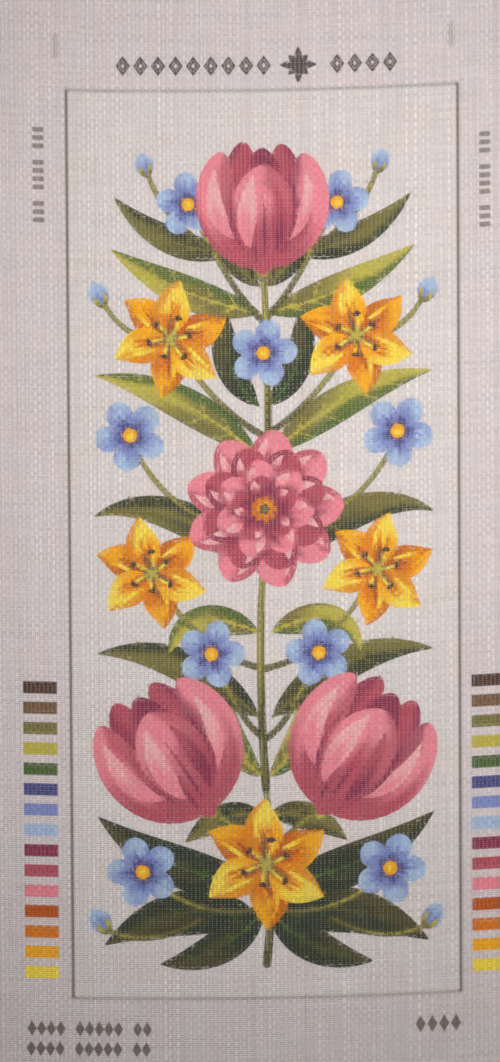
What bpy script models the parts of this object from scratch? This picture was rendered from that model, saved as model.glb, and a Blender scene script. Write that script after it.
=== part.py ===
# Needlepoint canvas panel: one length of open double-thread cotton canvas, cut along its threads.
# It lies flat, face up. X runs across the width, Y up the length to the top of the print, and Z out
# of the printed face. The origin is under the middle of the panel, on the surface that it lies on.
# The holes between the threads are under 1 mm wide, so the solid is the unbroken sheet of cloth.

import bpy
import numpy as np

# The cut length of canvas, in metres. Two layers of crossing thread give the thickness.
CANVAS_WIDTH = 0.300
CANVAS_LENGTH = 0.600
CANVAS_THICKNESS = 0.001

# The threads across aren't square to the side edges: they rise to the right, and sag at the middle.
# The rise is for each metre across, and the sag is at the middle of the width.
WEFT_RISE = 0.0119
WEFT_SAG = 0.0040

# Cells of the sheet across and along. The ends are curved and the sides are straight.
CELLS_ACROSS = 30
CELLS_ALONG = 2

# The cotton reads from a step away as this pale warm grey
CANVAS_COLOUR = (0.66, 0.60, 0.56, 1.0)
CANVAS_ROUGHNESS = 0.9


def weft_shift(across):
    """How far up the panel a thread across has moved, at each distance from the middle of the width."""
    half = CANVAS_WIDTH / 2
    sag = WEFT_SAG * (1 - (across / half) ** 2)
    return WEFT_RISE * across - sag


def centred_shift(across):
    """The same, moved so that the panel's box is centred along its length."""
    edge = np.linspace(-CANVAS_WIDTH / 2, CANVAS_WIDTH / 2, CELLS_ACROSS + 1)
    whole = weft_shift(edge)
    return weft_shift(across) - (whole.max() + whole.min()) / 2


def make_collection(name):
    collection = bpy.data.collections.new(name)
    bpy.context.scene.collection.children.link(collection)
    return collection


def make_cotton():
    material = bpy.data.materials.new("canvas_cotton")
    material.use_nodes = True
    shader = material.node_tree.nodes["Principled BSDF"]
    shader.inputs["Base Color"].default_value = CANVAS_COLOUR
    shader.inputs["Roughness"].default_value = CANVAS_ROUGHNESS
    shader.inputs["Metallic"].default_value = 0.0
    return material


def make_canvas(collection):
    """A grid the size of the cut canvas, pulled to the slant and sag of the weft and given its thickness."""
    bpy.ops.mesh.primitive_grid_add(
        x_subdivisions=CELLS_ACROSS, y_subdivisions=CELLS_ALONG, size=1.0
    )
    canvas = bpy.context.object
    canvas.name = "canvas"
    for old in list(canvas.users_collection):
        old.objects.unlink(canvas)
    collection.objects.link(canvas)

    mesh = canvas.data
    mesh.name = "canvas"
    points = np.zeros(len(mesh.vertices) * 3)
    mesh.vertices.foreach_get("co", points)
    points = points.reshape(-1, 3) * (CANVAS_WIDTH, CANVAS_LENGTH, 0)
    points[:, 1] += centred_shift(points[:, 0])
    mesh.vertices.foreach_set("co", points.ravel())
    mesh.update()

    thickness = canvas.modifiers.new("thickness", "SOLIDIFY")
    thickness.thickness = CANVAS_THICKNESS
    thickness.offset = 1.0
    mesh.materials.append(make_cotton())
    return canvas


def main():
    for old in list(bpy.data.objects):
        bpy.data.objects.remove(old, do_unlink=True)
    make_canvas(make_collection("needlepoint_canvas_panel"))


main()
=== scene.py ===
# A needlepoint canvas panel: open double-thread cotton canvas, printed with a frame line, colour key
# bars and a flowering branch, lying face up. Every thread is modelled, over and under the others, and
# the ink is worked out on the threads from the strokes of the drawing.
import math
import bpy
import numpy as np
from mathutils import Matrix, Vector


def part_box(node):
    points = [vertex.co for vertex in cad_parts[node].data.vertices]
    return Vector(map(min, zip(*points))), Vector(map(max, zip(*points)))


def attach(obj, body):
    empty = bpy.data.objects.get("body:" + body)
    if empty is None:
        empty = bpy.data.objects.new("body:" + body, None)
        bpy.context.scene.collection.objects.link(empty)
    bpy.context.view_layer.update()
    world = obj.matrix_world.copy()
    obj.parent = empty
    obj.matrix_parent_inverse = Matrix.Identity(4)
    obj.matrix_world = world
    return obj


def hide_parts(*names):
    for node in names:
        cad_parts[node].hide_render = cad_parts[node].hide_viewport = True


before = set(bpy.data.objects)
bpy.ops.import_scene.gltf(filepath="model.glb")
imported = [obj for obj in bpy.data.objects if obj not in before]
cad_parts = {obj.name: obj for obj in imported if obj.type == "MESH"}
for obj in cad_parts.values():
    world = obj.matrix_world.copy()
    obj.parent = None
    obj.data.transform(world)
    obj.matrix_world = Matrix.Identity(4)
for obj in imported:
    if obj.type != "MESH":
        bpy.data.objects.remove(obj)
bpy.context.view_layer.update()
mm = 0.001
panelLow, panelHigh = (np.array(corner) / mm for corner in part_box("canvas"))

# The cut canvas. Lengths here and in the drawing are in millimetres, across from the middle of the
# width and along from the middle of the length.
cloth = {
    "pairsAcross": 133,  # pairs of threads over the width, 44 to 10 cm
    "pairsAlong": 265,  # and over the length
    "warpGap": 0.79,  # the two threads of a pair along touch: this far between their middles
    "weftGap": 1.11,  # and those of a pair across lie apart
    "bands": 6,  # pieces that the length is made in
    "fineContrast": 0.73,  # edges between inks more unlike than this get rings half-way between crossings
    "weftRise": 0.0119,  # the threads across rise to the right by this much for each mm
    "weftSag": 4.0,  # and sag by this much at the middle of the width
    "warpLevel": 0.38, "warpCrimp": 0.13,  # height of the threads along, and how far they rise and dip
    "weftLevel": 0.36, "weftCrimp": 0.13,  # the same for the threads across
    "lean": 1.1,  # how far a thread's flanks face outwards, for each 1 that they face up
    "wander": 0.06,  # how far a thread strays from its seat
    "placeSpread": 0.35,  # how unevenly the threads sit, as a share of that
    "slub": 0.07,  # how much a thread's width changes
    "waveLengths": (35, 160),  # its slow waves are between these lengths
    "waveShares": (0.6, 0.5),  # how much the first and the second of its waves count
    "quickWave": 6.5,  # its width has a quick wave too: mm for each radian
    "warpSpread": 0.055, "weftSpread": 0.02,  # how unlike the threads' tones are
    "hueSpread": 0.008,  # and their hues
    "fray": 0.5,  # how unevenly the cut ends stick out
    "curlAcross": 60.0,  # the corners start to lift this far in from the sides
    "curlAlong": 80.0,  # and this far in from the ends
    "cornerLift": {(-1, -1): 1.1, (1, -1): 1.5, (-1, 1): 1.3, (1, 1): 0.9},  # by side and end
    "warpRoom": ((0.0, 0.40), (0.84, 0.91)),  # parts of the map for the upper and the lower sides
    "weftRoom": ((0.40, 0.84), (0.91, 1.0)),
    "mapEdge": 0.05,  # share of a thread's strip of the map that stays empty at each edge
    "seed": 11,
}

# A thread's upper side, from flank to flank: how far out each point is, how high above the middle, and
# how much ink it takes. pale is painted light and shade: lighter threads along, darker threads across.
warpProfile = {
    "out": np.array([-0.39, 0.0, 0.39]),
    "up": np.array([-0.08, 0.13, -0.08]),
    "ink": np.array([0.97, 1.0, 0.97]),
    # painted light: the threads along are made lighter, as if lit on their raised tops
    "pale": 1.03,
}
weftProfile = {
    "out": np.array([-0.45, 0.0, 0.45]),
    "up": np.array([-0.04, 0.10, -0.04]),
    "ink": np.array([0.97, 1.0, 0.97]),
    # painted shade: the threads across are made darker, as if shaded in the gaps between the pairs
    "pale": 0.965,
}


def softStep(share):
    # 0 below 0 and 1 above 1, with a smooth rise between: 3 t squared less 2 t cubed
    share = np.clip(share, 0, 1)
    return share * share * (3 - 2 * share)


halfAcross = (panelHigh[0] - panelLow[0]) / 2


def weftShift(across):
    # how far up the panel a thread across has moved: its rise, less a sag that is a parabola
    return cloth["weftRise"] * across - cloth["weftSag"] * (1 - (across / halfAcross) ** 2)


edgeShift = weftShift(np.linspace(-halfAcross, halfAcross, 61))
halfAlong = (panelHigh[1] - panelLow[1] - np.ptp(edgeShift)) / 2
shiftMiddle = (edgeShift.max() + edgeShift.min()) / 2


def cornerCurl(across, along):
    # each corner's lift, faded by a soft step from the sides and another from the ends
    height = np.zeros_like(across)
    for (side, end), lift in cloth["cornerLift"].items():
        inSide = halfAcross - cloth["curlAcross"]
        inEnd = halfAlong - cloth["curlAlong"]
        sideways = softStep((side * across - inSide) / cloth["curlAcross"])
        lengthways = softStep((end * along - inEnd) / cloth["curlAlong"])
        height += lift * sideways * lengthways
    return height


# The drawing: every printed shape, from the back to the front

def toLight(red, green, blue):
    # a display colour of 0 to 255 as light: ((c + 0.055) / 1.055) to the power 2.4
    colour = np.array([red, green, blue]) / 255
    return ((colour + 0.055) / 1.055) ** 2.4


inks = {
    "bare": toLight(222, 208, 207),
    "ground": toLight(226, 214, 210),
    "umber": toLight(88, 62, 48),
    "mark": toLight(96, 82, 80),
    "paleMark": toLight(126, 112, 108),
    "faintMark": toLight(150, 138, 130),
    "line": toLight(140, 126, 116),
    "faintLine": toLight(188, 178, 173),
    "brown": toLight(124, 92, 60),
    "olive": toLight(126, 116, 58),
    "lime": toLight(195, 180, 74),
    "moss": toLight(84, 78, 44),
    "green": toLight(80, 104, 48),
    "bottle": toLight(50, 58, 40),
    "navy": toLight(80, 80, 134),
    "periwinkle": toLight(132, 144, 200),
    "sky": toLight(174, 194, 222),
    "wine": toLight(146, 52, 80),
    "rose": toLight(186, 80, 96),
    "pink": toLight(240, 138, 150),
    "blush": toLight(244, 178, 178),
    "rust": toLight(194, 88, 6),
    "orange": toLight(224, 122, 0),
    "golden": toLight(252, 174, 0),
    "lemon": toLight(254, 220, 74),
}
inkReach = 1.25  # a shape's edge is kept on the threads this near it
inkBleed = 0.45  # the ink fades out over this far on each side of its edge
drawing = []
brush = np.random.default_rng(seed=23)

# Where two inks meet in a stroke: the border's place, the sizes and turns of its waves, and its softness
blend = {
    "border": (0.40, 0.56), "borderSizes": (0.10, 0.05), "borderTurns": (4, 11), "borderSoft": 0.42,
    "flank": 0.25, "flankSizes": (0.22, 0.10), "flankTurns": (7, 17), "flankSoft": 0.5,
}


def wavyBorder(middle, sizes, turns, phases, way):
    # a fixed place, moved by two sines
    slow = sizes[0] * np.sin(turns[0] * way + phases[0])
    quick = sizes[1] * np.sin(turns[1] * way + phases[1])
    return middle + slow + quick


def wash(base, tip, flank=None, lean=0.0, share=0.75):
    # base turns to tip part of the way along the stroke, and a share of flank covers the side that the
    # stroke leans to. Each is a soft step over a wavy border.
    phases = brush.uniform(0, 2 * math.pi, 4)
    middle = brush.uniform(*blend["border"])

    def tint(along, side):
        border = wavyBorder(middle, blend["borderSizes"], blend["borderTurns"], phases[:2], side)
        rise = softStep((along - border) / blend["borderSoft"] + 0.5)[:, None]
        colour = inks[base] * (1 - rise) + inks[tip] * rise
        if flank is not None:
            border = wavyBorder(blend["flank"], blend["flankSizes"], blend["flankTurns"], phases[2:], along)
            over = share * softStep((side * lean - border) / blend["flankSoft"] + 0.5)[:, None]
            colour = colour * (1 - over) + inks[flank] * over
        return colour

    return tint


def leafWidth(half):
    # pointed at both ends: the sine of half a turn, fullest a little before the middle
    return lambda along: half * np.sin(np.pi * along ** 0.8) ** 0.9


def petalWidth(half):
    # narrow at the base and round at the tip: the root of a sine that is fullest past the middle
    return lambda along: half * np.sin(np.pi * (0.06 + 0.94 * along) ** 1.35) ** 0.55


def stemWidth(base, tip):
    # a straight taper
    return lambda along: base + (tip - base) * along


def bend(start, through, end, steps=14):
    # a quadratic curve: the three points weighted by (1-t) squared, 2t(1-t) and t squared
    t = np.linspace(0, 1, steps)[:, None]
    start, through, end = (np.array(point, float) for point in (start, through, end))
    return (1 - t) ** 2 * start + 2 * t * (1 - t) * through + t ** 2 * end


def addShape(low, high, shape):
    # a shape is asked about the points in its box alone, which is inkReach larger all round
    drawing.append({"low": np.array(low) - inkReach, "high": np.array(high) + inkReach, "shape": shape})


def addStroke(spine, width, tint):
    # how far inside the stroke a point is: the width there less its distance to the spine, over the
    # root of 1 plus the width's slope squared
    start, step = spine[:-1], np.diff(spine, axis=0)
    size = np.linalg.norm(step, axis=1)
    reached = np.concatenate([[0], np.cumsum(size)])
    total = reached[-1]
    widest = width(np.linspace(0, 1, 30)).max()
    probe = 0.01  # the slope is measured over this share of the stroke each way
    steepest = 3  # and counts up to this
    thinnest = 0.3  # a point's side is told as if the stroke were at least this wide

    def shape(points):
        gap = points[:, None] - start
        t = np.clip((gap * step).sum(2) / size ** 2, 0, 1)
        gap -= t[..., None] * step
        away = np.hypot(gap[..., 0], gap[..., 1])
        near = away.argmin(1)
        rows = np.arange(len(points))
        away, t, gap = away[rows, near], t[rows, near], gap[rows, near]
        along = (reached[near] + t * size[near]) / total
        turn = step[near, 0] * gap[:, 1] - step[near, 1] * gap[:, 0]
        half = width(along)
        ahead, behind = np.clip(along + probe, 0, 1), np.clip(along - probe, 0, 1)
        slope = (width(ahead) - width(behind)) / ((ahead - behind) * total)
        slope[(along <= 0) | (along >= 1)] = 0
        inside = (half - away) / np.sqrt(1 + np.minimum(slope ** 2, steepest ** 2))
        side = np.sign(turn) * away / np.maximum(half, thinnest)
        return inside, tint(along, side)

    addShape(spine.min(0) - widest, spine.max(0) + widest, shape)


def addDisc(centre, radius, tint, lobes=0, depth=0.0):
    # how far inside the round a point is: its radius there, which a cosine may scallop, less its distance
    centre = np.array(centre, float)
    most = radius * (1 + depth)

    def shape(points):
        gap = points - centre
        away = np.hypot(gap[:, 0], gap[:, 1])
        rim = radius * (1 + depth * np.cos(lobes * np.arctan2(gap[:, 1], gap[:, 0])))
        return rim - away, tint(np.clip(away / radius, 0, 1), gap[:, 1] / radius)

    addShape(centre - most, centre + most, shape)


def addBar(centre, half, ink):
    # how far inside the bar a point is: the lesser of its distances to the sides and to the ends
    centre, half = np.array(centre, float), np.array(half, float)

    def shape(points):
        inside = (half - np.abs(points - centre)).min(1)
        return inside, np.broadcast_to(inks[ink], (len(points), 3))

    addShape(centre - half, centre + half, shape)


def addLozenge(centre, half, ink):
    # how far inside the lozenge a point is: 1 less the sum of its distances as shares of the halves
    centre, half = np.array(centre, float), np.array(half, float)

    def shape(points):
        share = (np.abs(points - centre) / half).sum(1)
        return (1 - share) / np.hypot(*(1 / half)), np.broadcast_to(inks[ink], (len(points), 3))

    addShape(centre - half, centre + half, shape)


def placed(points, centre, turn, size):
    # a motif's own points, made its size, turned clockwise by turn degrees and moved to its centre
    angle = math.radians(turn)
    across, along = np.array(points, float).T * size
    return np.stack([
        centre[0] + across * math.cos(angle) + along * math.sin(angle),
        centre[1] - across * math.sin(angle) + along * math.cos(angle),
    ], axis=1)


def addCurve(points, seat, width, tint, steps=14):
    # a stroke along the bend of three of a motif's own points. seat is its centre, turn and size.
    addStroke(bend(*placed(points, *seat), steps), width, tint)


# The printed frame, the colour key and the plain marks in the margins
printAside = -1.13  # the print is half a mesh off the middle, so that its side lines are on threads
margins = {
    "frameHalf": (105.0, 245.0),  # the design is 21 by 49 cm
    "sideLineHalf": 0.8, "endLineHalf": 1.0,
    "barHalf": (9.2, 3.3),
    "barStep": 11.03,
    "barColumns": (-121.7, 120.5),
    "barFirst": -76.7,
    "barInks": ["umber", "brown", "olive", "lime", "green", "navy", "periwinkle", "sky", "wine", "rose",
                "pink", "rust", "orange", "golden", "lemon"],
    "ticks": [(-110.6, 268.2), (101.5, 271.5)],
    "tickHalf": (1.15, 6.9),
    "headingAlong": 258.0,
    "headingRuns": [(-74.5, 3.0), (40.5, 71.0)],
    "headingStep": 9.45,
    "headingHalf": (3.9, 5.4),
    "headingHollow": 0.28,  # the bare middle of a lozenge, as a share of it
    "starAcross": 19.6,
    "starPoints": 8,
    "starReach": (10.0, 7.5),  # long and short points by turns
    "starHalf": 2.1,
    "sideRuns": [(-120.3, 175.0, 227.0), (119.4, 168.5, 221.0)],
    "sideStep": 4.4,
    "sideHalf": (3.0, 1.3),
    "sideGap": (5, 3),  # of every 5 marks, number 3 is left out, counting from 0
    "footRows": [(-127.5, -60.0, -261.6), (-128.0, -62.0, -272.6)],
    "footStep": 5.2,
    "footHalf": (2.5, 4.3),
    "footGap": (6, 4),
    "cornerRow": (83.0, 104.0, -261.6),
    "cornerStep": 6.4,
    "cornerHalf": (2.7, 4.8),
}


def drawMargins(look):
    # bars for the lines, the ticks and the colour key, then rows of marks at even steps, with a star in
    # the gap of the heading
    across, along = look["frameHalf"]
    for side in (-1, 1):
        addBar((0, side * along), (across, look["endLineHalf"]), "faintLine")
    for side in (-1, 1):
        addBar((side * across, 0), (look["sideLineHalf"], along), "line")
    for place in look["ticks"]:
        addBar(place, look["tickHalf"], "faintLine")
    for column in look["barColumns"]:
        for row, ink in enumerate(look["barInks"]):
            addBar((column, look["barFirst"] - row * look["barStep"]), look["barHalf"], ink)
    hollowHalf = np.multiply(look["headingHalf"], look["headingHollow"])
    for start, end in look["headingRuns"]:
        for place in np.arange(start, end, look["headingStep"]):
            addLozenge((place, look["headingAlong"]), look["headingHalf"], "mark")
            addLozenge((place, look["headingAlong"]), hollowHalf, "bare")
    points = look["starPoints"]
    for k in range(points):
        seat = ((look["starAcross"], look["headingAlong"]), 360 / points * k, look["starReach"][k % 2])
        addCurve([(0, 0), (0, 0.5), (0, 1)], seat, leafWidth(look["starHalf"]), wash("mark", "mark"), 4)
    every, without = look["sideGap"]
    for place, low, high in look["sideRuns"]:
        for i, height in enumerate(np.arange(low, high, look["sideStep"])):
            if i % every != without:
                addBar((place, height), look["sideHalf"], "faintMark")
    every, without = look["footGap"]
    for start, end, height in look["footRows"]:
        for i, place in enumerate(np.arange(start, end, look["footStep"])):
            if i % every != without:
                addLozenge((place, height), look["footHalf"], "paleMark")
    start, end, height = look["cornerRow"]
    for place in np.arange(start, end, look["cornerStep"]):
        addLozenge((place, height), look["cornerHalf"], "paleMark")


# A tulip seen from the side, one unit tall from its base. Each row is a petal or a patch of tone: base,
# bend and tip, half width, outline, lower, upper and flank inks, and lean.
tulip = {
    "rows": [
        ((-0.03, 0.08), (-0.22, 0.55), (-0.15, 1.02), 0.16, petalWidth, "wine", "rose", "wine", 0.8),
        ((0.03, 0.08), (0.22, 0.55), (0.15, 1.00), 0.16, petalWidth, "wine", "rose", "wine", -0.8),
        ((0.00, 0.10), (0.00, 0.60), (0.00, 0.97), 0.17, petalWidth, "wine", "wine", "rose", 0.5),
        ((0.05, 0.02), (0.50, 0.26), (0.33, 0.92), 0.17, petalWidth, "rose", "pink", "wine", 0.9),
        ((0.16, 0.20), (0.42, 0.40), (0.36, 0.78), 0.055, leafWidth, "pink", "blush", None, 0.0),
        ((-0.05, 0.02), (-0.50, 0.26), (-0.33, 0.94), 0.17, petalWidth, "rose", "pink", "rose", -0.9),
        ((-0.22, 0.24), (-0.46, 0.42), (-0.38, 0.82), 0.070, leafWidth, "pink", "blush", None, 0.0),
        ((-0.12, 0.12), (-0.32, 0.36), (-0.24, 0.74), 0.030, leafWidth, "wine", "rose", None, 0.0),
        ((0.12, 0.12), (0.30, 0.36), (0.25, 0.70), 0.035, leafWidth, "wine", "wine", None, 0.0),
        ((0.00, 0.00), (0.00, 0.45), (0.01, 0.83), 0.25, petalWidth, "rose", "pink", "rose", -0.9),
        ((-0.10, 0.16), (-0.17, 0.42), (-0.07, 0.76), 0.080, leafWidth, "pink", "blush", None, 0.0),
        ((0.10, 0.12), (0.19, 0.36), (0.09, 0.70), 0.055, leafWidth, "wine", "rose", None, 0.0),
        ((0.01, 0.08), (0.02, 0.34), (0.00, 0.62), 0.018, leafWidth, "wine", "rose", None, 0.0),
        ((-0.05, 0.03), (-0.09, 0.18), (-0.04, 0.38), 0.020, leafWidth, "wine", "rose", None, 0.0),
    ],
    "cup": ((0.0, -0.04), 0.075),
}


def drawTulip(centre, turn, size):
    # the cup behind, and the rows from the back to the front
    seat = (centre, turn, size)
    place, radius = tulip["cup"]
    addDisc(placed([place], *seat)[0], radius * size, wash("lime", "olive"))
    for base, through, tip, half, outline, lower, upper, flank, lean in tulip["rows"]:
        addCurve([base, through, tip], seat, outline(half * size), wash(lower, upper, flank, lean))


# A star lily seen from the front, one unit from its middle to its petals' tips
lily = {
    "petals": 6,
    "petalHalf": 0.30,
    "sway": 0.10,
    "back": ("orange", "golden", "rust"),
    "front": ("golden", "lemon", "orange"),
    "glints": [(-1, "lemon"), (1, "orange")],  # side and ink of the pale lines on a petal
    "glintHalf": 0.035,
    "streaks": [(-1, 0.46, "rust"), (1, 0.42, "rust"), (0, 0.66, "brown")],  # side, reach and ink
    "streakHalf": 0.042,
    "throat": 0.11,
    "stamens": [(10, 0.36), (64, 0.31), (131, 0.37), (186, 0.30), (247, 0.35), (305, 0.32)],  # way, reach
    "filamentHalf": (0.026, 0.022),
    "antherHalf": 0.045,
}


def drawLily(centre, turn, size):
    # petals at even turns, every second one in front, each with pale lines and dark streaks, and over
    # them the throat and the stamens
    for k in (*range(1, lily["petals"], 2), *range(0, lily["petals"], 2)):
        lower, upper, flank = lily["back"] if k % 2 else lily["front"]
        seat = (centre, turn + 360 / lily["petals"] * k, size)
        sway = lily["sway"] * (1 if k % 3 else -1)
        petal = [(0, 0.08), (sway, 0.55), (0, 1.0)]
        addCurve(petal, seat, leafWidth(lily["petalHalf"] * size), wash(lower, upper, flank, 0.9))
        for side, ink in lily["glints"]:
            line = [(0.09 * side, 0.3), (0.13 * side + sway, 0.58), (0.05 * side, 0.88)]
            addCurve(line, seat, leafWidth(lily["glintHalf"] * size), wash(ink, upper))
        for side, reach, ink in lily["streaks"]:
            line = [(0.02 * side, 0.06), (0.07 * side + 0.5 * sway, 0.3), (0.08 * side + 0.7 * sway, reach)]
            addCurve(line, seat, leafWidth(lily["streakHalf"] * size), wash(ink, flank), 8)
    addDisc(centre, lily["throat"] * size, wash("umber", "brown"), 6, 0.16)
    base, tip = np.multiply(lily["filamentHalf"], size)
    for bearing, reach in lily["stamens"]:
        seat = (centre, turn + bearing, size)
        filament = [(0, 0.02), (0.05, 0.6 * reach), (0.02, reach)]
        addCurve(filament, seat, stemWidth(base, tip), wash("lime", "lemon"), 6)
        anther = [(-0.05, reach - 0.02), (0.02, reach + 0.03), (0.09, reach + 0.01)]
        addCurve(anther, seat, leafWidth(lily["antherHalf"] * size), wash("umber", "umber"), 5)


# A small five-petalled blossom, one unit from its middle to its petals' tips
blossom = {
    "petals": 5,
    "petalHalf": 0.36,
    "veins": [(0, 0.74), (-1, 0.62), (1, 0.58)],  # side and reach
    "veinHalf": 0.055,
    "eye": 0.19,
    "eyeRim": 0.09,
}


def drawBlossom(centre, turn, size):
    # petals at even turns with dark veins, a scalloped dark rim and the eye
    for k in range(blossom["petals"]):
        seat = (centre, turn + 360 / blossom["petals"] * k, size)
        petal = [(0, 0.12), (0.04, 0.55), (0, 0.97)]
        tint = wash("periwinkle", "sky", "periwinkle", 0.9, 0.5)
        addCurve(petal, seat, petalWidth(blossom["petalHalf"] * size), tint)
        for side, reach in blossom["veins"]:
            line = [(0.05 * side, 0.12), (0.12 * side, 0.4), (0.19 * side, reach)]
            addCurve(line, seat, leafWidth(blossom["veinHalf"] * size), wash("navy", "periwinkle"), 6)
    addDisc(centre, (blossom["eye"] + blossom["eyeRim"]) * size, wash("navy", "navy"), 5, 0.15)
    addDisc(centre, blossom["eye"] * size, wash("lemon", "golden"))


# A full round flower seen from the front, one unit from its middle to its outer petals' tips. Each ring
# has so many petals, their reach and half width, and their lower, upper and flank inks.
rosette = {
    "rings": [
        (9, 1.00, 0.27, "wine", "pink", "rose"), (8, 0.80, 0.24, "wine", "rose", "wine"),
        (7, 0.62, 0.20, "wine", "pink", "rose"), (5, 0.42, 0.16, "wine", "rose", "wine"),
    ],
    "ringTurn": 17,  # degrees that each ring is turned from the one behind it
    "lightHalf": 0.055,
    "eye": 0.15,
    "pip": 0.45,  # the eye's middle, as a share of it
}


def drawRosette(centre, turn, size):
    # rings from the outermost in, of petals at even turns with a light patch each, and over them the eye
    for ring, (petals, reach, half, lower, upper, flank) in enumerate(rosette["rings"]):
        for k in range(petals):
            seat = (centre, turn + rosette["ringTurn"] * ring + 360 / petals * k, size)
            petal = [(0, 0.2 * reach), (0.05, 0.6 * reach), (0, reach)]
            addCurve(petal, seat, petalWidth(half * size), wash(lower, upper, flank, 0.9))
            light = np.array([(-0.10, 0.5), (-0.13, 0.7), (-0.05, 0.9)]) * reach
            addCurve(light, seat, leafWidth(rosette["lightHalf"] * size), wash(upper, "blush"), 6)
    addDisc(centre, rosette["eye"] * size, wash("golden", "orange"), 9, 0.10)
    addDisc(centre, rosette["eye"] * size * rosette["pip"], wash("olive", "brown"), 5, 0.12)


# A bud, one unit tall from its foot
bud = {"petalHalf": 0.24, "sepalHalf": 0.1}


def drawBud(foot, turn, size):
    # three petals, the middle one in front, and a sepal up each side
    seat = (foot, turn, size)
    for side in (-1, 1, 0):
        petal = [(0, 0), (0.28 * side, 0.5), (0.08 * side, 1.0 - 0.12 * abs(side))]
        addCurve(petal, seat, leafWidth(bud["petalHalf"] * size), wash("periwinkle", "sky"), 8)
    for side in (-1, 1):
        sepal = [(0, -0.1), (0.24 * side, 0.1), (0.2 * side, 0.45)]
        addCurve(sepal, seat, leafWidth(bud["sepalHalf"] * size), wash("olive", "lime"), 6)


# A leaf: its lower, upper, flank and vein inks in each tone, and its veins in mm
leaf = {
    "tones": {
        "bright": ("olive", "lime", "green", "lime"),
        "mid": ("moss", "olive", "bottle", "olive"),
        "dark": ("bottle", "moss", "bottle", "green"),
    },
    "ribHalf": (0.85, 0.35),  # half widths at the base and the tip
    "veinHalf": (0.55, 0.25),
    "veins": (0.22, 0.38, 0.54, 0.70),  # where pairs of veins leave the rib
    "veinAhead": 0.75, "veinAside": 0.72,  # their reach, in half widths of the leaf
    "veinBow": 0.6,
}


def drawLeaf(start, through, end, half, tone):
    # each vein runs from the rib a fixed way ahead, and aside by a share of the leaf's width there
    lower, upper, flank, vein = leaf["tones"][tone]
    spine = bend(start, through, end)
    addStroke(spine, leafWidth(half), wash(lower, upper, flank, -0.9, 0.85))
    way = spine[-1] - spine[0]
    size = np.linalg.norm(way)
    for t in leaf["veins"]:
        root = spine[int(t * (len(spine) - 1))]
        for side in (-1, 1):
            out = np.array([way[1], -way[0]]) / size * side
            ahead = way / size * half * leaf["veinAhead"]
            aside = out * half * leaf["veinAside"] * math.sin(math.pi * t ** 0.8)
            tip = root + ahead + aside
            line = bend(root, (root + tip) / 2 + out * leaf["veinBow"], tip, 5)
            addStroke(line, stemWidth(*leaf["veinHalf"]), wash(vein, upper))
    addStroke(spine[:-1], stemWidth(*leaf["ribHalf"]), wash(vein, upper))


# A stem's light line: its place beside the spine and its half widths, as shares of the stem's
stem = {"lightAside": -0.25, "lightUp": 0.1, "lightHalf": (0.28, 0.25)}


def drawStem(points, base, tip):
    # a tapered stroke, and a thinner light one along its left
    spine = bend(*points)
    addStroke(spine, stemWidth(base, tip), wash("moss", "olive", "bottle", 0.9, 0.6))
    light = stemWidth(stem["lightHalf"][0] * base, stem["lightHalf"][1] * tip)
    addStroke(spine + (stem["lightAside"] * base, stem["lightUp"]), light, wash("olive", "lime"))


# The flowering branch, laid out evenly about an upright stem. Places are across and along, in mm.
branch = {
    "stemHalf": (2.4, 1.7),  # at the base and the tip
    "sideStemHalf": (1.9, 1.3),
    "stem": [((0, -226), (5, -180), (0, -130)), ((0, -130), (-5, -60), (0, 0)),
             ((0, 0), (5, 70), (0, 152))],
    "sideStems": [
        ((1, -196), (38, -204), (67, -176)), ((1, -168), (14, -152), (31, -142)),
        ((0, -104), (14, -96), (28, -58)), ((0, -66), (34, -60), (60, -16)),
        ((1, 6), (52, 12), (72, 58)), ((1, 60), (26, 74), (49, 110)),
        ((1, 122), (18, 138), (39, 184)), ((36, -202), (62, -218), (86, -208)),
        ((40, 106), (76, 110), (86, 132)), ((28, 160), (54, 176), (62, 202)),
    ],
    "leaves": [
        ((3, -204), (44, -186), (88, -216), 12.5, "dark"),
        ((2, -198), (26, -224), (58, -226), 9.5, "dark"),
        ((3, -182), (52, -180), (91, -146), 11.5, "dark"),
        ((2, -146), (22, -140), (44, -160), 7.5, "mid"),
        ((2, -124), (20, -112), (18, -84), 6.5, "bright"),
        ((4, -92), (48, -50), (91, -58), 9.5, "mid"),
        ((4, -46), (44, -28), (52, -58), 8.0, "bright"),
        ((4, -10), (56, 34), (92, 16), 9.5, "mid"),
        ((4, 50), (48, 88), (91, 92), 9.5, "bright"),
        ((3, 76), (27, 98), (20, 134), 8.0, "dark"),
        ((2, 126), (42, 132), (82, 160), 9.0, "bright"),
        ((2, 140), (26, 158), (19, 196), 7.5, "mid"),
        ((16, 158), (54, 158), (80, 188), 7.5, "mid"),
    ],
    "buds": [((86, -208), 38, 15), ((86, 130), 24, 14), ((62, 200), 16, 13)],
    "blossoms": [(67, -176, 20, 20), (29, -58, -14, 19), (72, 60, 30, 20), (40, 184, 8, 18)],
    "lilies": [(61, -14, 12, 31), (50, 112, -10, 32)],
    "tulips": [(31, -142, 33, 74)],
    "middleLily": (0, -172, 0, 36),
    "middleRosette": (0, 20, 6, 43),
    "topTulip": (0, 150, 0, 66),
    "topBlossom": (0, 104, 12, 19),
}


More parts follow.
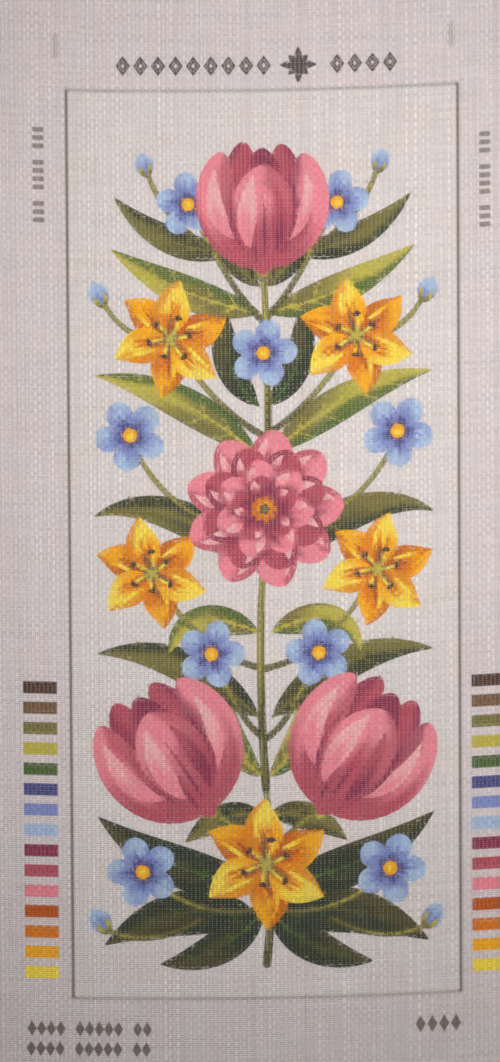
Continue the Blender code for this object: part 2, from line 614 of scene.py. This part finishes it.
def drawBranch(look):
    # from the back to the front, each list on the left of the stem and mirrored on its right
    for side in (-1, 1):
        for start, through, end, half, tone in look["leaves"]:
            drawLeaf(*[(side * x, y) for x, y in (start, through, end)], half, tone)
    for side in (-1, 1):
        for points in look["sideStems"]:
            drawStem([(side * x, y) for x, y in points], *look["sideStemHalf"])
    for points in look["stem"]:
        drawStem(points, *look["stemHalf"])
    for side in (-1, 1):
        for foot, turn, size in look["buds"]:
            drawBud((side * foot[0], foot[1]), side * turn, size)
        for x, y, turn, size in look["blossoms"]:
            drawBlossom((side * x, y), side * turn, size)
    drawBlossom(look["topBlossom"][:2], *look["topBlossom"][2:])
    for side in (-1, 1):
        for x, y, turn, size in look["tulips"]:
            drawTulip((side * x, y), side * turn, size)
        for x, y, turn, size in look["lilies"]:
            drawLily((side * x, y), side * turn, size)
    for name, draw in (("middleLily", drawLily), ("middleRosette", drawRosette), ("topTulip", drawTulip)):
        x, y, turn, size = look[name]
        draw((x, y), turn, size)


def bareCloth(points):
    # the colour of the cloth with nothing drawn on it, which is paler inside the frame
    inFrame = (np.abs(points) < margins["frameHalf"]).all(1)
    return np.where(inFrame[:, None], inks["ground"], inks["bare"])


def printInk(across, along):
    # For points on the cloth: the ink in front, the ink behind it, and how far inside the front
    # shape's edge each is. Away from any edge both inks are the same, and the distance is 0.
    points = np.stack([across - printAside, along], axis=1)
    front = bareCloth(points)
    back, edge = front.copy(), np.zeros(len(points))
    for mark in drawing:
        chosen = np.flatnonzero(((points > mark["low"]) & (points < mark["high"])).all(1))
        if not len(chosen):
            continue
        inside, colour = mark["shape"](points[chosen])
        was = np.where(edge[chosen] == 0, inkReach, np.abs(edge[chosen]))
        keep = (inside > 0) | ((inside > -inkReach) & (-inside < was))
        chosen, inside, colour = chosen[keep], inside[keep], colour[keep]
        shown = np.where(edge[chosen, None] < 0, back[chosen], front[chosen])
        deep = inside >= inkReach
        front[chosen] = colour
        back[chosen] = np.where(deep[:, None], colour, shown)
        edge[chosen] = np.where(deep, 0, inside)
    return front, back, edge


drawMargins(margins)
drawBranch(branch)
print("drawing:", len(drawing), "shapes")

# The threads
dice = np.random.default_rng(cloth["seed"])
pitchAcross = 2 * halfAcross / cloth["pairsAcross"]
pitchAlong = 2 * halfAlong / cloth["pairsAlong"]
warpSeats = (np.arange(cloth["pairsAcross"]) + 0.5) * pitchAcross - halfAcross
weftSeats = (np.arange(cloth["pairsAlong"]) + 0.5) * pitchAlong - halfAlong
pairSides = np.array([-0.5, 0.5])


def threadNature(count, spread):
    # each thread's own place, waves and tone, drawn once. spread is how unlike the tones are.
    return {
        "place": dice.normal(0, cloth["placeSpread"], count),
        "waves": dice.uniform(*cloth["waveLengths"], (3, count)),
        "phases": dice.uniform(0, 2 * math.pi, (4, count)),
        "tone": 1 + dice.normal(0, spread, (count, 1)) + dice.normal(0, cloth["hueSpread"], (count, 3)),
        "start": dice.uniform(0, 50, count),  # where on the noise of the yarn it begins
        "ends": dice.uniform(-1, 0, (count, 2)),
    }


warpNature = threadNature(2 * cloth["pairsAcross"], cloth["warpSpread"])
weftNature = threadNature(2 * cloth["pairsAlong"], cloth["weftSpread"])

warpHalves = (warpSeats[1:] + warpSeats[:-1]) / 2
weftHalves = (weftSeats[1:] + weftSeats[:-1]) / 2


def nearEdges(across, along):
    # where a ring half-way between two crossings is wanted: near an edge between unlike inks
    spots = np.meshgrid(across, along, indexing="ij")
    front, back, edge = printInk(spots[0].ravel(), spots[1].ravel())
    unlike = np.abs(front - back).sum(1) > cloth["fineContrast"]
    return (unlike & (edge != 0)).reshape(spots[0].shape)


warpFine = nearEdges(warpSeats, weftHalves)
weftFine = nearEdges(warpHalves, weftSeats).T
print("half-way rings:", int(warpFine.sum()), "on the warp and", int(weftFine.sum()), "on the weft")


def onMap(weft, wide, far, low, high):
    # the weft lies across the map and the warp up it, each in its own part from low to high
    first, second = (far, wide) if weft else (wide, far)
    return np.stack([first, low + second * (high - low)], axis=1)


def layStrands(weft, seats, stops, height, made, nature, profile, room):
    # Threads side by side. A ring of the profile stands at each stop that is made, and each ring is
    # joined to the next along its thread. The long way is across on the weft and along on the warp.
    # room is the part of the map that the threads' upper and lower sides take.
    thread, stop = np.nonzero(made)
    run, seat = stops[stop], seats[thread]
    waves = nature["waves"][:, thread]
    phases = nature["phases"][:, thread]
    swing = np.sin(2 * math.pi * run / waves + phases[:3])
    quick = np.sin(run / cloth["quickWave"] + phases[3])
    most, rest = cloth["waveShares"]
    stray = cloth["wander"] * (nature["place"][thread] + most * swing[0] + rest * swing[1])
    fat = 1 + cloth["slub"] * (most * swing[2] + rest * quick)
    isCut = np.isclose(np.abs(run), halfAcross if weft else halfAlong)
    run = run + np.sign(run) * isCut * cloth["fray"] * nature["ends"][thread, (run > 0).astype(int)]

    out = profile["out"] * fat[:, None]
    side = (seat + stray)[:, None] + out
    runs = np.broadcast_to(run[:, None], side.shape)
    up = height[thread, stop][:, None] + profile["up"] * fat[:, None]
    # which way the upper side faces at each point of the ring: straight up at the middle, and leaning
    # outwards by cloth["lean"] at the flanks, as on a round thread
    lean = cloth["lean"] * profile["out"] / profile["out"][-1]
    facing = np.tile(np.stack([lean, np.zeros(len(lean)), np.ones(len(lean))], axis=1), (len(thread), 1))
    facing = facing[:, [1, 0, 2]] if weft else facing
    # each thread's own tone, times the painted light of the threads along and the painted shade of those
    # across
    tones = np.repeat(nature["tone"][thread] * profile["pale"], len(out[0]), axis=0)
    begun = nature["start"][thread][:, None]
    yarn = np.stack([out, runs + begun, np.broadcast_to(thread[:, None], side.shape)], axis=2)

    points = len(profile["out"])
    ring = np.flatnonzero(thread[1:] == thread[:-1])
    here = np.arange(points)
    there = np.roll(here, -1)
    corners = [(0, here), (0, there), (1, there), (1, here)]
    quads = [(ring[:, None] + ahead) * points + spot for ahead, spot in corners]
    quads = np.stack(quads, axis=2).reshape(-1, 4)

    # across the map the threads lie side by side, upper sides in one part and lower sides in another
    strip = 1 - 2 * cloth["mapEdge"]
    girth = np.concatenate([[0], np.cumsum(np.hypot(np.diff(profile["out"]), np.diff(profile["up"])))])
    share = cloth["mapEdge"] + strip * girth / girth[-1]
    far = (stops[stop] - stops[0]) / (stops[-1] - stops[0])
    upper = ((thread[:, None] + share) / len(seats)).ravel()
    lower = ((thread[:, None] + (1 - cloth["mapEdge"]) - strip * (here > points / 2)) / len(seats)).ravel()
    corner = quads.ravel()
    under = np.repeat(np.tile(here == points - 1, len(ring)), 4)
    wide = np.where(under, lower[corner], upper[corner])
    (topLow, topHigh), (underLow, underHigh) = room
    low, high = np.where(under, underLow, topLow), np.where(under, underHigh, topHigh)
    places = onMap(weft, wide, far[corner // points], low, high)

    first = np.flatnonzero(np.diff(thread, prepend=-1))
    last = np.append(first[1:], len(thread)) - 1
    caps = np.concatenate([first[:, None] * points + here[::-1], last[:, None] * points + here])
    if weft:  # seen from outside, the faces of the weft run the other way round
        quads, places = quads[:, ::-1], places.reshape(-1, 4, 2)[:, ::-1].reshape(-1, 2)
        caps = caps[:, ::-1]
    corner = caps.ravel()
    capPlaces = onMap(weft, upper[corner], far[corner // points], topLow, topHigh)
    across, along = (runs, side) if weft else (side, runs)
    return {
        "across": across.ravel(), "along": along.ravel(), "up": up.ravel(),
        "tone": tones, "yarn": yarn.reshape(-1, 3), "facing": facing,
        "take": np.tile(profile["ink"], len(thread)),
        "quads": quads, "places": places, "caps": caps, "capPlaces": capPlaces,
        "round": np.tile(here < points - 1, len(ring)),
    }


def crimped(over, level, crimp, stops, crossings, fine):
    # For both threads of each pair: the height at each stop, which is the level plus the crimp where the
    # pair goes over and less it where it goes under, and whether the stop gets a ring. fine says it for
    # the stops half-way between two crossings.
    isCrossing = np.isin(stops, crossings)
    height = np.full((len(over), len(stops)), level)
    height[:, isCrossing] += crimp * over
    made = np.ones(height.shape, bool)
    made[:, np.flatnonzero(~isCrossing)[1:-1]] = fine
    return np.repeat(height, 2, axis=0), np.repeat(made, 2, axis=0)


def makeBand(name, rows, low, high):
    # the stretch of canvas between low and high along, which holds the weft pairs of rows
    over = np.where((np.arange(cloth["pairsAcross"])[:, None] + rows) % 2, 1, -1)
    crossings = weftSeats[rows]
    fine = warpFine[:, rows[:-1]]
    stops = np.sort(np.concatenate([[low], crossings, weftHalves[rows[:-1]], [high]]))
    height, made = crimped(over, cloth["warpLevel"], cloth["warpCrimp"], stops, crossings, fine)
    seats = (warpSeats[:, None] + pairSides * cloth["warpGap"]).ravel()
    warp = layStrands(False, seats, stops, height, made, warpNature, warpProfile, cloth["warpRoom"])

    stops = np.sort(np.concatenate([[-halfAcross], warpSeats, warpHalves, [halfAcross]]))
    fine = weftFine[rows]
    height, made = crimped(-over.T, cloth["weftLevel"], cloth["weftCrimp"], stops, warpSeats, fine)
    seats = (crossings[:, None] + pairSides * cloth["weftGap"]).ravel()
    threads = (2 * rows[:, None] + (0, 1)).ravel()
    nature = {
        key: value[:, threads] if key in ("waves", "phases") else value[threads]
        for key, value in weftNature.items()
    }
    weft = layStrands(True, seats, stops, height, made, nature, weftProfile, cloth["weftRoom"])

    perPoint = ("across", "along", "up", "tone", "yarn", "take", "facing")
    both = {key: np.concatenate([warp[key], weft[key]]) for key in perPoint}
    count = len(warp["across"])
    faces = [warp["quads"], weft["quads"] + count, warp["caps"], weft["caps"] + count]
    places = np.concatenate([warp["places"], weft["places"], warp["capPlaces"], weft["capPlaces"]])

    across, along = both["across"], both["along"]
    spots = np.stack([
        across,
        along + weftShift(across) - shiftMiddle,
        both["up"] + cornerCurl(across, along),
    ], axis=1) * mm
    front, back, edge = printInk(across, along)
    ground = bareCloth(np.stack([across - printAside, along], axis=1))
    take = both["take"][:, None]
    front = (ground + (front - ground) * take) * both["tone"]
    back = (ground + (back - ground) * take) * both["tone"]

    mesh = bpy.data.meshes.new(name)
    mesh.vertices.add(len(spots))
    mesh.vertices.foreach_set("co", spots.ravel())
    corner = np.concatenate([group.ravel() for group in faces])
    mesh.loops.add(len(corner))
    mesh.loops.foreach_set("vertex_index", corner)
    sides = np.concatenate([np.full(len(group), group.shape[1]) for group in faces])
    mesh.polygons.add(len(sides))
    mesh.polygons.foreach_set("loop_start", np.cumsum(sides) - sides)
    mesh.update(calc_edges=True)
    mesh.validate()
    # Only the upper sides are shaded round. They face as the cloth does, less the slope of its curl, with
    # no tilt along the thread, so neither the cuts between the bands nor the half-way rings show.
    isRound = np.concatenate([warp["round"], weft["round"], np.zeros(len(faces[2]) + len(faces[3]), bool)])
    mesh.polygons.foreach_set("use_smooth", isRound)
    facing = both["facing"]
    facing[:, 0] -= (cornerCurl(across + 1, along) - cornerCurl(across - 1, along)) / 2
    facing[:, 1] -= (cornerCurl(across, along + 1) - cornerCurl(across, along - 1)) / 2
    facing /= np.linalg.norm(facing, axis=1)[:, None]
    turned = np.zeros((len(corner), 3))
    atRound = np.repeat(isRound, sides)
    turned[atRound] = facing[corner[atRound]]
    mesh.normals_split_custom_set(turned)
    for key, colour in (("frontInk", front), ("backInk", back)):
        values = np.ones((len(spots), 4))
        values[:, :3] = np.clip(colour, 0, 1)
        mesh.attributes.new(key, "FLOAT_COLOR", "POINT").data.foreach_set("color", values.ravel())
    mesh.attributes.new("inkEdge", "FLOAT", "POINT").data.foreach_set("value", edge)
    mesh.attributes.new("yarn", "FLOAT_VECTOR", "POINT").data.foreach_set("vector", both["yarn"].ravel())
    mesh.attributes.new("upperSide", "FLOAT", "FACE").data.foreach_set("value", isRound.astype(float))
    mesh.uv_layers.new(name="OFBake").data.foreach_set("uv", places.ravel())
    piece = bpy.data.objects.new(name, mesh)
    bpy.context.scene.collection.objects.link(piece)
    return piece


# The cotton: printed ink, the slubs and twist of the yarn, and a fibrous surface
cotton = {
    "patchScale": 38.0, "patchTint": ((1.0, 0.982, 0.965, 1), (0.985, 1.0, 1.0, 1)),
    "patchEdge": (0.4, 0.6),
    "slubStretch": (0.0, 0.055, 7.3),  # how quickly it changes across, along and from thread to thread
    "slubRange": (0.90, 1.08),
    "fibreScale": 2600.0, "fibreRange": (0.90, 1.08),
    "noiseSpan": (0.3, 0.7),  # the part of a noise's span that is used
    "roughness": (0.82, 0.96),
    "specular": 0.25,
    "sheen": 0.12, "sheenRoughness": 0.5,
    "twistScale": 2.1,  # its ridges are 0.3 mm apart along the thread
    "twistWarp": 0.6,
    "twistDepth": 0.00005, "fibreDepth": 0.00003,  # in metres
    "twistFade": (0.16, 0.42),  # the twist weakens between these distances from a thread's middle
    "twistLeft": 0.35,  # to this
    "soaked": 0.35,  # how much of the ink shows on the back
}


def cottonMaterial(look):
    # colour: the front ink over the back ink by a smooth step over the edge, times the patches, the
    # slubs and the fibres. Height: the twist, then the fibres.
    material = bpy.data.materials.new("printedCotton")
    material.use_nodes = True
    tree = material.node_tree
    nodes, links = tree.nodes, tree.links
    shader = nodes["Principled BSDF"]
    shader.inputs["Specular IOR Level"].default_value = look["specular"]
    shader.inputs["Sheen Weight"].default_value = look["sheen"]
    shader.inputs["Sheen Roughness"].default_value = look["sheenRoughness"]

    def attribute(name, output):
        # an output of the mesh's own attribute
        node = nodes.new("ShaderNodeAttribute")
        node.attribute_name = name
        return node.outputs[output]

    def ranged(source, low, high, toLow, toHigh, kind="LINEAR"):
        # low to high becomes toLow to toHigh
        node = nodes.new("ShaderNodeMapRange")
        node.interpolation_type = kind
        links.new(source, node.inputs["Value"])
        for key, value in (("From Min", low), ("From Max", high), ("To Min", toLow), ("To Max", toHigh)):
            node.inputs[key].default_value = value
        return node.outputs["Result"]

    def mixed(first, second, factor=None):
        # factor of the second colour with the rest of the first or, without a factor, their product
        node = nodes.new("ShaderNodeMix")
        node.data_type = "RGBA"
        if factor is None:
            node.blend_type = "MULTIPLY"
            node.inputs["Factor"].default_value = 1.0
        else:
            links.new(factor, node.inputs["Factor"])
        links.new(first, node.inputs["A"])
        links.new(second, node.inputs["B"])
        return node.outputs["Result"]

    def noise(vector, scale, detail):
        # soft random values about 0.5
        node = nodes.new("ShaderNodeTexNoise")
        links.new(vector, node.inputs["Vector"])
        node.inputs["Scale"].default_value = scale
        node.inputs["Detail"].default_value = detail
        return node.outputs["Fac"]

    place = nodes.new("ShaderNodeTexCoord").outputs["Object"]
    yarn = attribute("yarn", "Vector")
    inEdge = ranged(attribute("inkEdge", "Fac"), -inkBleed, inkBleed, 0.0, 1.0, "SMOOTHSTEP")
    colour = mixed(attribute("backInk", "Color"), attribute("frontInk", "Color"), inEdge)
    bare = nodes.new("ShaderNodeMix")
    bare.data_type = "RGBA"
    bare.inputs["A"].default_value = (*inks["bare"], 1)
    shown = ranged(attribute("upperSide", "Fac"), 0.0, 1.0, look["soaked"], 1.0)
    links.new(shown, bare.inputs["Factor"])
    links.new(colour, bare.inputs["B"])
    fibre = noise(place, look["fibreScale"], 2.0)
    # each thread is a little darker in some stretches, and the cloth warmer in some patches
    stretch = nodes.new("ShaderNodeMapping")
    stretch.inputs["Scale"].default_value = look["slubStretch"]
    links.new(yarn, stretch.inputs["Vector"])
    slub = noise(stretch.outputs["Vector"], 1.0, 2.0)
    patch = nodes.new("ShaderNodeValToRGB")
    for stop, position, tint in zip(patch.color_ramp.elements, look["patchEdge"], look["patchTint"]):
        stop.position = position
        stop.color = tint
    links.new(noise(place, look["patchScale"], 1.0), patch.inputs["Fac"])
    colour = mixed(bare.outputs["Result"], patch.outputs["Color"])
    colour = mixed(colour, ranged(slub, *look["noiseSpan"], *look["slubRange"]))
    colour = mixed(colour, ranged(fibre, *look["noiseSpan"], *look["fibreRange"]))
    links.new(colour, shader.inputs["Base Color"])
    links.new(ranged(fibre, *look["noiseSpan"], *look["roughness"]), shader.inputs["Roughness"])

    # the twist: slanting ridges across each thread, from its place across and its place along
    wave = nodes.new("ShaderNodeTexWave")
    wave.bands_direction = "DIAGONAL"
    wave.inputs["Scale"].default_value = look["twistScale"]
    wave.inputs["Distortion"].default_value = look["twistWarp"]
    wave.inputs["Detail"].default_value = 1.0
    links.new(yarn, wave.inputs["Vector"])
    twist = nodes.new("ShaderNodeBump")
    twist.inputs["Distance"].default_value = look["twistDepth"]
    apart = nodes.new("ShaderNodeSeparateXYZ")
    links.new(yarn, apart.inputs["Vector"])
    aside = nodes.new("ShaderNodeMath")
    aside.operation = "ABSOLUTE"
    links.new(apart.outputs["X"], aside.inputs[0])
    strength = ranged(aside.outputs["Value"], *look["twistFade"], 1.0, look["twistLeft"])
    links.new(strength, twist.inputs["Strength"])
    links.new(wave.outputs["Fac"], twist.inputs["Height"])
    fuzz = nodes.new("ShaderNodeBump")
    fuzz.inputs["Distance"].default_value = look["fibreDepth"]
    links.new(fibre, fuzz.inputs["Height"])
    links.new(twist.outputs["Normal"], fuzz.inputs["Normal"])
    links.new(fuzz.outputs["Normal"], shader.inputs["Normal"])
    return material


printedCotton = cottonMaterial(cotton)
rowGroups = np.array_split(np.arange(cloth["pairsAlong"]), cloth["bands"])
cuts = [-halfAlong, *(weftHalves[rows[-1]] for rows in rowGroups[:-1]), halfAlong]
for number, (rows, low, high) in enumerate(zip(rowGroups, cuts, cuts[1:]), 1):
    band = makeBand(f"canvasBand{number}", rows, low, high)
    band.data.materials.append(printedCotton)
    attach(band, "root")
    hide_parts("canvas")
    triangles = len(band.data.loops) - 2 * len(band.data.polygons)
    print("band", number, "triangles:", triangles)


# The floor, the light and the camera
stage = {
    "floorSize": 12.0,
    "floorDrop": 0.0001,
    "floorColour": (0.60, 0.58, 0.565, 1),
    "floorRoughness": 0.8,
    "grainScale": 3.0, "grainTint": (0.96, 0.96, 0.96, 1),
    "keyPlace": (0.075, 0.115, 0.54), "keySize": 0.40, "keyPower": 3.4,
    "skyColour": (0.88, 0.95, 1.0), "skyStrength": 0.22,
}


def makeFloor(look):
    # a square a hair under the cloth, its colour times a faint grain
    size = look["floorSize"]
    bpy.ops.mesh.primitive_plane_add(size=size, location=(0, 0, -look["floorDrop"]))
    floor = bpy.context.object
    floor.name = "floor"
    material = bpy.data.materials.new("paleFloor")
    material.use_nodes = True
    nodes, links = material.node_tree.nodes, material.node_tree.links
    shader = nodes["Principled BSDF"]
    shader.inputs["Roughness"].default_value = look["floorRoughness"]
    grain = nodes.new("ShaderNodeTexNoise")
    grain.inputs["Scale"].default_value = look["grainScale"]
    ramp = nodes.new("ShaderNodeValToRGB")
    colour = np.array(look["floorColour"])
    ramp.color_ramp.elements[0].color = colour * look["grainTint"]
    ramp.color_ramp.elements[1].color = colour
    links.new(grain.outputs["Fac"], ramp.inputs["Fac"])
    links.new(ramp.outputs["Color"], shader.inputs["Base Color"])
    floor.data.materials.append(material)


def addLight(name, place, size, power):
    # a square lamp that faces straight down
    light = bpy.data.lights.new(name, "AREA")
    light.size = size
    light.energy = power
    lamp = bpy.data.objects.new(name, light)
    lamp.location = place
    bpy.context.scene.collection.objects.link(lamp)


makeFloor(stage)
addLight("keyLight", stage["keyPlace"], stage["keySize"], stage["keyPower"])
world = bpy.data.worlds.new("softRoom")
world.use_nodes = True
world.node_tree.nodes["Background"].inputs["Color"].default_value = (*stage["skyColour"], 1)
world.node_tree.nodes["Background"].inputs["Strength"].default_value = stage["skyStrength"]
bpy.context.scene.world = world
bpy.context.scene.view_settings.view_transform = "Standard"

# The camera looks down on the print, from a little towards its top and turned a little, so the view
# holds the same 270 by 572 mm of canvas as the photograph
view = {
    "middle": (-8.7, 5.5),  # mm
    "tall": 572.5,  # mm of canvas over the picture's height
    "distance": 1.30,  # m
    "lean": 1.5,  # degrees from straight down, towards the top
    "roll": -0.355,  # degrees
    "sensor": 36.0,
}


def addCamera(look):
    # the lens is as long as the sensor times the distance over the height that it has to show
    camera = bpy.data.cameras.new("camera")
    camera.sensor_width = look["sensor"]
    camera.lens = look["sensor"] * look["distance"] / (look["tall"] * mm)
    eye = bpy.data.objects.new("camera", camera)
    lean = math.radians(look["lean"])
    middle = np.array([*look["middle"], 0]) * mm
    eye.location = middle + np.array([0, math.sin(lean), math.cos(lean)]) * look["distance"]
    eye.rotation_euler = (-lean, 0, math.radians(look["roll"]))
    bpy.context.scene.collection.objects.link(eye)
    bpy.context.scene.camera = eye


addCamera(view)
print("stage, light and camera are set")
